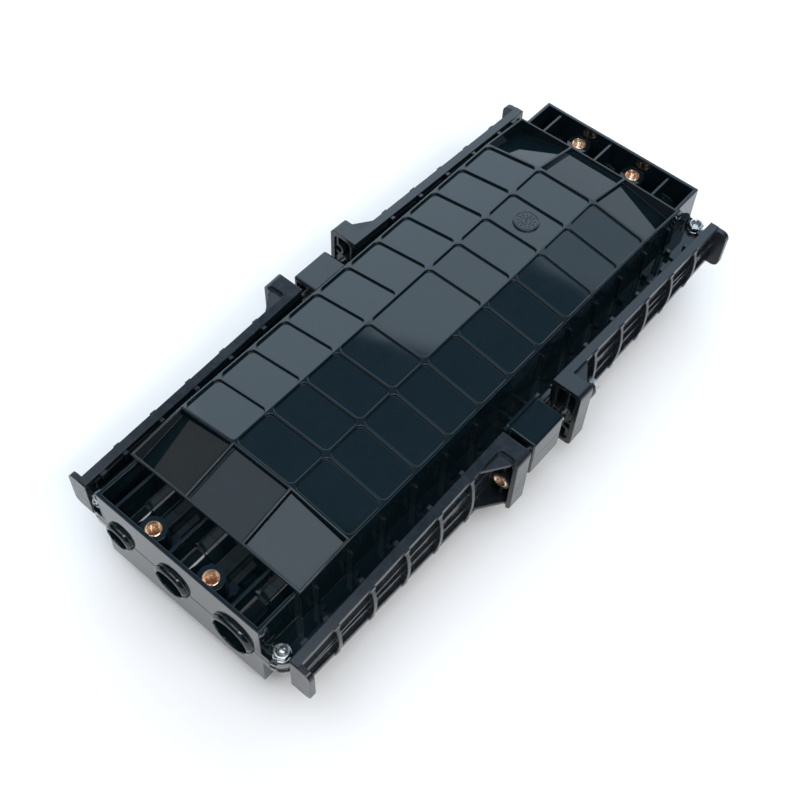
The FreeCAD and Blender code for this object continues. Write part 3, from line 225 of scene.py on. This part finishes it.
# ------------------------------------------------------------------ rounded edges
def smooth_tree():
    """Drops the imported normals and shades everything smooth, so that the rounded edges
    decide the shading."""
    tree = bpy.data.node_groups.new("soft_shading", "GeometryNodeTree")
    tree.interface.new_socket("Geometry", in_out="INPUT", socket_type="NodeSocketGeometry")
    tree.interface.new_socket("Geometry", in_out="OUTPUT", socket_type="NodeSocketGeometry")
    first = tree.nodes.new("NodeGroupInput")
    last = tree.nodes.new("NodeGroupOutput")
    drop = tree.nodes.new("GeometryNodeRemoveAttribute")
    drop.inputs["Name"].default_value = "custom_normal"
    shade = tree.nodes.new("GeometryNodeSetShadeSmooth")
    tree.links.new(first.outputs[0], drop.inputs["Geometry"])
    tree.links.new(drop.outputs[0], shade.inputs["Geometry"])
    tree.links.new(shade.outputs[0], last.inputs[0])
    return tree


def crest_tree():
    """Sets how far each sharp edge of a shell is rounded: fully along the crests of the ribs
    and rims, a little elsewhere, and least among the small gussets of the flange."""
    tree = bpy.data.node_groups.new("crest_rounding", "GeometryNodeTree")
    tree.interface.new_socket("Geometry", in_out="INPUT", socket_type="NodeSocketGeometry")
    tree.interface.new_socket("Geometry", in_out="OUTPUT", socket_type="NodeSocketGeometry")
    first = tree.nodes.new("NodeGroupInput")
    last = tree.nodes.new("NodeGroupOutput")

    def sum_of(operation, a, b=0.0, c=0.0):
        m = tree.nodes.new("ShaderNodeMath")
        m.operation = operation
        for socket, v in zip(m.inputs, (a, b, c)):
            if isinstance(v, (int, float)):
                socket.default_value = v
            else:
                tree.links.new(v, socket)
        return m.outputs["Value"]

    where = tree.nodes.new("GeometryNodeInputPosition")
    axes = tree.nodes.new("ShaderNodeSeparateXYZ")
    tree.links.new(where.outputs["Position"], axes.inputs["Vector"])
    x, y, z = (sum_of("MULTIPLY", axes.outputs[k], 1000.0) for k in "XYZ")
    x, y = sum_of("ABSOLUTE", x), sum_of("ABSOLUTE", y)
    z = sum_of("ABSOLUTE", sum_of("SUBTRACT", z, PART_Z))
    # Height of the ribbed top over the parting plane at x, y.
    aside = sum_of("MAXIMUM", sum_of("SUBTRACT", y, 23.4), 0.0)
    main = sum_of("MULTIPLY_ADD", aside, -7.4 / 45.8, 51.0)
    rim = sum_of("MULTIPLY_ADD", aside, -1.0 / 45.8, 40.4)
    along = sum_of("DIVIDE", sum_of("SUBTRACT", x, 151.1), 193.8 - 151.1)
    along = sum_of("MINIMUM", sum_of("MAXIMUM", along, 0.0), 1.0)
    top = sum_of("MULTIPLY_ADD", sum_of("SUBTRACT", rim, main), along, main)
    on_top = sum_of("MULTIPLY", sum_of("COMPARE", z, top, 0.3),
                    sum_of("MULTIPLY", sum_of("LESS_THAN", x, 194.3),
                           sum_of("LESS_THAN", y, 69.7)))
    on_end = sum_of("MULTIPLY", sum_of("COMPARE", z, 35.0, 0.15),
                    sum_of("GREATER_THAN", x, 193.0))
    crest = sum_of("MINIMUM", sum_of("ADD", on_top, on_end), 1.0)
    bend = tree.nodes.new("GeometryNodeInputMeshEdgeAngle")
    sharp = sum_of("GREATER_THAN", bend.outputs["Unsigned Angle"], math.radians(38.0))
    small = sum_of("MULTIPLY", sum_of("COMPARE", y, 77.0, 7.3), sum_of("LESS_THAN", z, 18.3))
    plain = sum_of("MULTIPLY_ADD", small, 0.16 - 0.42, 0.42)
    weight = sum_of("MULTIPLY_ADD", crest, sum_of("SUBTRACT", 1.0, plain), plain)
    # The ports' collars and the faces where the halves meet keep their own shape.
    ports = sum_of("MULTIPLY", sum_of("GREATER_THAN", x, 223.5), sum_of("LESS_THAN", z, 19.0))
    meet = sum_of("MULTIPLY", sum_of("GREATER_THAN", x, 30.0), sum_of("LESS_THAN", z, 0.2))
    bare = sum_of("LESS_THAN", sum_of("ADD", ports, meet), 0.5)
    weight = sum_of("MULTIPLY", weight, sum_of("MULTIPLY", sharp, bare))
    store = tree.nodes.new("GeometryNodeStoreNamedAttribute")
    store.data_type = "FLOAT"
    store.domain = "EDGE"
    store.inputs["Name"].default_value = "bevel_weight_edge"
    tree.links.new(first.outputs[0], store.inputs["Geometry"])
    tree.links.new(weight, store.inputs["Value"])
    tree.links.new(store.outputs[0], last.inputs[0])
    return tree


PART_Z = 51.0
SOFT = smooth_tree()
CREST = crest_tree()


def round_edges(obj, width, angle=38.0, segments=2, crests=False):
    m = obj.modifiers.new("soft_shading", "NODES")
    m.node_group = SOFT
    m = obj.modifiers.new("join", "WELD")
    m.merge_threshold = 2e-6
    m = obj.modifiers.new("flat_faces", "DECIMATE")
    m.decimate_type = "DISSOLVE"
    m.angle_limit = math.radians(0.4)
    if crests:
        m = obj.modifiers.new("crests", "NODES")
        m.node_group = CREST
    m = obj.modifiers.new("round_edges", "BEVEL")
    m.width = width
    m.segments = segments
    if crests:
        m.limit_method = "WEIGHT"
    else:
        m.limit_method = "ANGLE"
        m.angle_limit = math.radians(angle)
    m.use_clamp_overlap = False
    m.loop_slide = False
    m.face_strength_mode = "FSTR_ALL"
    m = obj.modifiers.new("even_faces", "WEIGHTED_NORMAL")
    m.mode = "FACE_AREA"
    m.weight = 50
    m.use_face_influence = True


ROUND = {"shell_plastic": 0.0007, "zinc_steel": 0.00022,
         "insert_brass": 0.00018, "bracket_steel": 0.00015, "tray_plastic": 0.00025,
         "comb_plastic": 0.0002}
for name, obj in nodes.items():
    slot = slot_of[name]
    obj.data.materials.clear()
    obj.data.materials.append(FINISH.get(slot, BAND))
    if slot in ROUND:
        if slot == "shell_plastic":
            round_edges(obj, ROUND[slot], segments=3, crests=True)
        else:
            round_edges(obj, ROUND[slot])

# ------------------------------------------------------------------ turned and threaded pieces
def seat(origin, z_axis, x_axis):
    """Local frame in millimetres (over the parting plane) to the row frame in metres."""
    z = Vector(z_axis).normalized()
    x = Vector(x_axis).normalized()
    y = z.cross(x)
    k = 0.001
    o = (Vector(origin) + Vector((0, 0, PART_Z))) * k
    return Matrix(((x.x * k, y.x * k, z.x * k, o.x), (x.y * k, y.y * k, z.y * k, o.y),
                   (x.z * k, y.z * k, z.z * k, o.z), (0, 0, 0, 1)))


def turn(bm, rows, place, steps=72, loop=False):
    """Surface of revolution about local z. A row is (radius, height); either one may be a
    function of the angle, and a radius of 0 closes the surface on the axis."""
    rings = []
    for r, h in rows:
        if not callable(r) and abs(r) < 1e-9:
            rings.append([bm.verts.new(place @ Vector((0, 0, h)))])
            continue
        ring = []
        for i in range(steps):
            a = 2 * math.pi * i / steps
            ra = r(a) if callable(r) else r
            ha = h(a) if callable(h) else h
            ring.append(bm.verts.new(place @ Vector((ra * math.cos(a), ra * math.sin(a), ha))))
        rings.append(ring)
    pairs = list(zip(rings, rings[1:]))
    if loop:
        pairs.append((rings[-1], rings[0]))
    for a, b in pairs:
        for i in range(steps):
            j = (i + 1) % steps
            if len(a) == 1:
                bm.faces.new((a[0], b[j], b[i]))
            elif len(b) == 1:
                bm.faces.new((a[i], a[j], b[0]))
            else:
                bm.faces.new((a[i], a[j], b[j], b[i]))


def hexagon(apothem):
    return lambda a: apothem / math.cos((a % (math.pi / 3)) - math.pi / 6)


def below(radius, top, limit, fall):
    """Height of a chamfer that falls away outside the radius limit."""
    return lambda a: top - max(0.0, radius(a) - limit) * fall


def thread(root, crest, low, high, pitch=1.0, parts=6, hand=1):
    """Rows of a helical thread from low to high; it runs out into the root at both ends."""
    rows = []
    n = max(2, int(round(abs(high - low) / pitch * parts)))
    for k in range(n + 1):
        h = low + (high - low) * k / n
        edge = min(1.0, min(abs(h - low), abs(high - h)) / (pitch * 0.8))

        def radius(a, h=h, edge=edge):
            f = (h / pitch - hand * a / (2 * math.pi)) % 1.0
            f = 1.0 - abs(2.0 * f - 1.0)
            f = min(1.0, max(0.0, (f - 0.16) / 0.68))
            return root + (crest - root) * f * edge

        rows.append((radius, h))
    return rows


def piece(name, bm, material, body, replaced=(), sharp=32.0):
    bmesh.ops.recalc_face_normals(bm, faces=bm.faces)
    mesh = bpy.data.meshes.new(name)
    bm.to_mesh(mesh)
    bm.free()
    mesh.materials.append(material)
    for poly in mesh.polygons:
        poly.use_smooth = True
    mesh.set_sharp_from_angle(angle=math.radians(sharp))
    obj = bpy.data.objects.new(name, mesh)
    scene.collection.objects.link(obj)
    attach(obj, body)
    if replaced:
        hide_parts(*replaced)
    return obj


AF = 5.0            # half the width across the flats of the M6 hexagons
HEX = hexagon(AF)


def hex_head(high):
    """Chamfered hexagon with a dished top and a washer face, standing on local z = 0."""
    return [(0, high - 0.25), (2.7, high - 0.25), (3.1, high), (4.55, high),
            (lambda a: min(HEX(a), 4.9), below(HEX, high, 4.62, 0.0)),
            (HEX, below(HEX, high - 0.14, 4.9, 0.55)), (HEX, 0.42),
            (lambda a: min(HEX(a), 4.85), 0.36), (4.8, 0.3), (4.75, 0.0)]


# Clamp bolts: head at the far end, plain neck, thread down to the tip.
for label, s in (("left", 1), ("right", -1)):
    head_at, tip = 56.6, -35.0
    place = seat((head_at, s * 97.4, 0), (1, 0, 0), (0, 1, 0))
    rows = hex_head(4.2) + [(2.94, 0.0), (2.94, -33.0), (2.45, -33.6)]
    rows += thread(2.42, 2.94, -33.8, tip - head_at + 1.0)
    rows += [(2.3, tip - head_at + 0.6), (1.9, tip - head_at), (0, tip - head_at)]
    bm = bmesh.new()
    turn(bm, rows, place, steps=36)
    piece("clamp_bolt_%s_cut" % label, bm, ZINC, "%s_bolt" % label,
          ("clamp_bolt_%s" % label,))

    # Brass insert in the near lug: chamfered mouth, thread inside, knurl outside.
    face = -41.4
    place = seat((face, s * 97.4, 0), (-1, 0, 0), (0, 1, 0))
    long = 11.8
    rows = [(5.17, -long), (5.17, -8.6)]
    rows += [(lambda a, k=k: 5.17 - 0.28 * abs(math.sin(14 * a + k * 0.35)), -8.2 + k * 0.5)
             for k in range(11)]
    rows += [(5.17, -2.4), (5.17, -0.5), (4.72, -0.02), (4.25, 0.0), (4.0, -0.22)]
    rows += [(3.32, -1.15)]
    rows += list(reversed(thread(3.36, 3.04, -long + 0.3, -1.3)))
    rows += [(3.36, -long)]
    bm = bmesh.new()
    turn(bm, rows, place, steps=72, loop=True)
    piece("rail_insert_%s_cut" % label, bm, BRASS, "near_%s_rail" % label,
          ("rail_insert_%s" % label,))

# Hanger inserts: a chamfered ring round a threaded blind hole.
for label, zs in (("top", 1), ("bottom", -1)):
    bm = bmesh.new()
    for sx in (1, -1):
        for y in (29.5, -18.5):
            place = seat((sx * 215.0, y, zs * 24.0), (0, 0, zs), (1, 0, 0))
            deep = 14.4
            rows = [(0, -deep + 1.6), (3.2, -deep + 1.6), (3.9, -deep + 1.75)]
            rows += thread(4.0, 3.45, -deep + 1.9, -1.3, pitch=1.25)
            rows += [(4.0, -1.1), (4.55, -0.5), (4.72, -0.12), (4.86, 0.0), (5.06, 0.0),
                     (5.3, -0.16), (5.37, -0.5), (5.37, -2.2)]
            rows += [(lambda a, k=k: 5.37 - 0.26 * abs(math.sin(14 * a + k * 0.35)),
                      -2.6 - k * 0.6) for k in range(14)]
            rows += [(5.37, -11.4), (5.37, -deep + 0.4), (5.0, -deep + 0.02), (0, -deep + 0.02)]
            turn(bm, rows, place, steps=72)
    piece("hanger_inserts_%s_cut" % label, bm, BRASS, "case",
          ("hanger_inserts_%s" % label,))

# Corner bolts and flange nuts.
nuts, studs = bmesh.new(), bmesh.new()
for sx in (1, -1):
    for sy in (1, -1):
        x, y, top = sx * 217.3, sy * 75.8, 6.4
        place = seat((x, y, top), (0, 0, 1), (1, 0, 0))
        rows = [(3.0, 0.0), (5.6, 0.0), (5.85, 0.25), (5.85, 0.7), (5.6, 1.02),
                (lambda a: min(HEX(a), 5.3), 1.15), (HEX, 1.5),
                (HEX, below(HEX, 5.0, 4.95, 0.55)), (lambda a: min(HEX(a), 5.05), 5.12),
                (4.75, 5.34), (4.5, 5.4), (3.75, 5.4), (3.3, 4.95)]
        rows += list(reversed(thread(3.32, 2.98, 0.4, 4.8)))
        turn(nuts, rows, place, steps=72, loop=True)
        reach = 6.6 if sx < 0 else 3.0
        rows = [(0, -16.8 + 0.25), (2.7, -16.8 + 0.25), (3.1, -16.8), (4.6, -16.8),
                (lambda a: min(HEX(a), 4.95), -16.8 + 0.05),
                (HEX, lambda a: -16.8 + 0.2 + max(0.0, HEX(a) - 4.9) * 0.55), (HEX, -13.2),
                (lambda a: min(HEX(a), 4.9), -13.05), (4.8, -12.8), (2.93, -12.8), (2.93, -6.6),
                (2.5, -6.2)]
        rows += thread(2.45, 2.93, -6.0, reach - (1.3 if sx < 0 else 0.7))
        if sx < 0:
            rows += [(2.55, reach - 1.15), (2.42, reach - 0.7), (2.0, reach - 0.3),
                     (1.2, reach - 0.07), (0, reach)]
        else:
            rows += [(2.4, reach - 0.5), (1.95, reach), (0, reach)]
        turn(studs, rows, place, steps=48)
piece("corner_nuts_cut", nuts, ZINC, "case", ("corner_nuts",))
piece("corner_bolts_cut", studs, ZINC, "case", ("corner_bolts",))

# Mould dial on the round disc of the top and of the base: a ring, ticks and an arrow.
def bar(bm, place, length, width, high, at, turned):
    """Low bar with a rounded top, its middle at the radius at, pointing to the middle."""
    ca, sa = math.cos(turned), math.sin(turned)
    rings = []
    for inset, z in ((0.0, -0.1), (0.0, high * 0.45), (0.07, high * 0.85), (0.15, high)):
        half_l, half_w = length / 2 - inset, width / 2 - inset * 0.8
        ring = []
        for u, w in ((-half_l, -half_w), (half_l, -half_w), (half_l, half_w), (-half_l, half_w)):
            u += at
            ring.append(bm.verts.new(place @ Vector((u * ca - w * sa, u * sa + w * ca, z))))
        rings.append(ring)
    for low, up in zip(rings, rings[1:]):
        for i in range(4):
            j = (i + 1) % 4
            bm.faces.new((low[i], low[j], up[j], up[i]))
    bm.faces.new(rings[0][::-1])
    bm.faces.new(rings[-1])


dial = bmesh.new()
for zs in (1, -1):
    place = seat((30.22 * 3.5, 0, zs * 50.5), (0, 0, zs), (1, 0, 0))
    turn(dial, [(8.35, -0.1), (8.35, 0.14), (8.2, 0.26), (8.0, 0.3), (7.8, 0.26), (7.65, 0.14),
                (7.65, -0.1)], place, steps=96, loop=True)
    turn(dial, [(3.75, -0.1), (3.75, 0.12), (3.62, 0.24), (3.45, 0.26), (3.28, 0.24),
                (3.15, 0.12), (3.15, -0.1)], place, steps=72, loop=True)
    for k in range(12):
        bar(dial, place, 1.9, 0.62, 0.28, 5.6, 2 * math.pi * k / 12)
    bar(dial, place, 4.4, 0.6, 0.28, 0.0, 0.6)
    for side in (0.55, -0.55):
        bar(dial, place @ Matrix.Rotation(0.6, 4, "Z") @ Matrix.Translation((2.0, 0, 0))
            @ Matrix.Rotation(side, 4, "Z"), 1.7, 0.55, 0.28, -0.75, 0.0)
piece("mould_dials", dial, SHELL, "case")

# ------------------------------------------------------------------ floor and light
floor_mat, tree, bsdf = new_material("floor_white")
bsdf.inputs["Base Color"].default_value = (0.88, 0.87, 0.86, 1)
bsdf.inputs["Roughness"].default_value = 0.6
bsdf.inputs["Specular IOR Level"].default_value = 0.2
bm = bmesh.new()
bmesh.ops.create_grid(bm, x_segments=1, y_segments=1, size=6.0)
floor_mesh = bpy.data.meshes.new("floor")
bm.to_mesh(floor_mesh)
bm.free()
floor = bpy.data.objects.new("floor", floor_mesh)
floor.location.z = -0.0005
floor_mesh.materials.append(floor_mat)
scene.collection.objects.link(floor)


def softbox(name, centre, target, size, radiance, colour=(1, 1, 1), glossy=True):
    """A rectangular lamp of an even brightness that looks at target."""
    lamp = bpy.data.lights.new(name, "AREA")
    lamp.shape = "RECTANGLE"
    lamp.size, lamp.size_y = size
    lamp.energy = radiance * size[0] * size[1] * math.pi
    lamp.color = colour
    obj = bpy.data.objects.new(name, lamp)
    obj.location = centre
    obj.rotation_mode = "QUATERNION"
    obj.rotation_quaternion = (Vector(target) - Vector(centre)).to_track_quat("-Z", "Y")
    obj.visible_glossy = glossy
    scene.collection.objects.link(obj)
    return obj


# A tall wide box behind the closure, overhead boxes over the near end, weak ones at the side
# and the front, and even light for the floor that the gloss doesn't show.
def wall(name, azimuth, distance, side, low, high, radiance, colour):
    """An upright box that faces the middle, from side[0] to side[1] across."""
    a = math.radians(azimuth)
    out = Vector((math.cos(a), math.sin(a), 0))
    across = Vector((-math.sin(a), math.cos(a), 0))
    centre = out * distance + across * (side[0] + side[1]) / 2 + Vector((0, 0, (low + high) / 2))
    obj = softbox(name, centre, centre - out, (side[1] - side[0], high - low), radiance, colour)
    return obj


D = 2.6
wall("back_box", 20.0, D, (0.05 * D, 1.5 * D), 0.10 + 0.55 * D, 0.10 + 1.42 * D, 2.2,
     (0.68, 0.85, 1.0))
wall("back_right_box", 20.0, D, (-0.85 * D, 0.05 * D), 0.10 + 0.55 * D, 0.10 + 1.42 * D, 1.42,
     (0.62, 0.82, 1.0))
wall("upper_box", 20.0, D, (-0.85 * D, 1.5 * D), 0.10 + 1.42 * D, 0.10 + 2.95 * D, 0.27,
     (0.34, 0.62, 1.0))
wall("low_box", 20.0, D, (-0.85 * D, 1.5 * D), 0.10 + 0.02 * D, 0.10 + 0.55 * D, 1.40,
     (0.74, 0.87, 1.0))
wall("side_box", 97.0, D, (-0.55 * D, 0.40 * D), 0.10 + 0.58 * D, 0.10 + 1.30 * D, 0.46,
     (0.98, 0.91, 0.90))
softbox("top_box", (-0.72, -0.25, 2.6), (-0.72, -0.25, 0), (2.1, 1.9), 2.2, (0.74, 0.87, 1.0))
softbox("near_box", (-0.72, 1.27, 2.6), (-0.72, 1.27, 0), (2.1, 1.14), 1.12, (0.76, 0.88, 1.0))
softbox("strip_box", (-0.25, -1.45, 1.9), (0, 0, 0.05), (1.9, 0.5), 7.0, (0.97, 0.98, 1.0))
softbox("front_box", (-2.2, -1.7, 1.5), (0, 0, 0.05), (1.6, 1.2), 0.5, (0.96, 0.98, 1.0))
softbox("floor_fill", (-0.6, -0.5, 3.6), (-0.2, -0.2, 0), (6.0, 6.0), 1.02, (1.0, 0.955, 0.915),
        glossy=False)

world = bpy.data.worlds.new("studio")
scene.world = world
world.use_nodes = True
world.node_tree.nodes["Background"].inputs["Color"].default_value = (0.03, 0.034, 0.04, 1)
scene.view_settings.view_transform = "Standard"

# ------------------------------------------------------------------ camera
az, el, roll = (math.radians(v) for v in (-52.217, 56.001, 3.164))
back = Vector((math.sin(az) * math.cos(el), -math.cos(az) * math.cos(el), math.sin(el)))
right = Vector((math.cos(az), math.sin(az), 0))
up = back.cross(right)
cam_x = right * math.cos(roll) + up * math.sin(roll)
cam_y = up * math.cos(roll) - right * math.sin(roll)
lens = bpy.data.cameras.new("camera")
lens.sensor_width = 36.0
lens.lens = 1226.75 / 800 * 36.0
lens.clip_start, lens.clip_end = 0.02, 50
camera = bpy.data.objects.new("camera", lens)
camera.matrix_world = Matrix(((cam_x.x, cam_y.x, back.x, -0.39326),
                              (cam_x.y, cam_y.y, back.y, -0.28706),
                              (cam_x.z, cam_y.z, back.z, 0.72117),
                              (0, 0, 0, 1)))
scene.collection.objects.link(camera)
scene.camera = camera

# ------------------------------------------------------------------ end
bpy.context.view_layer.update()
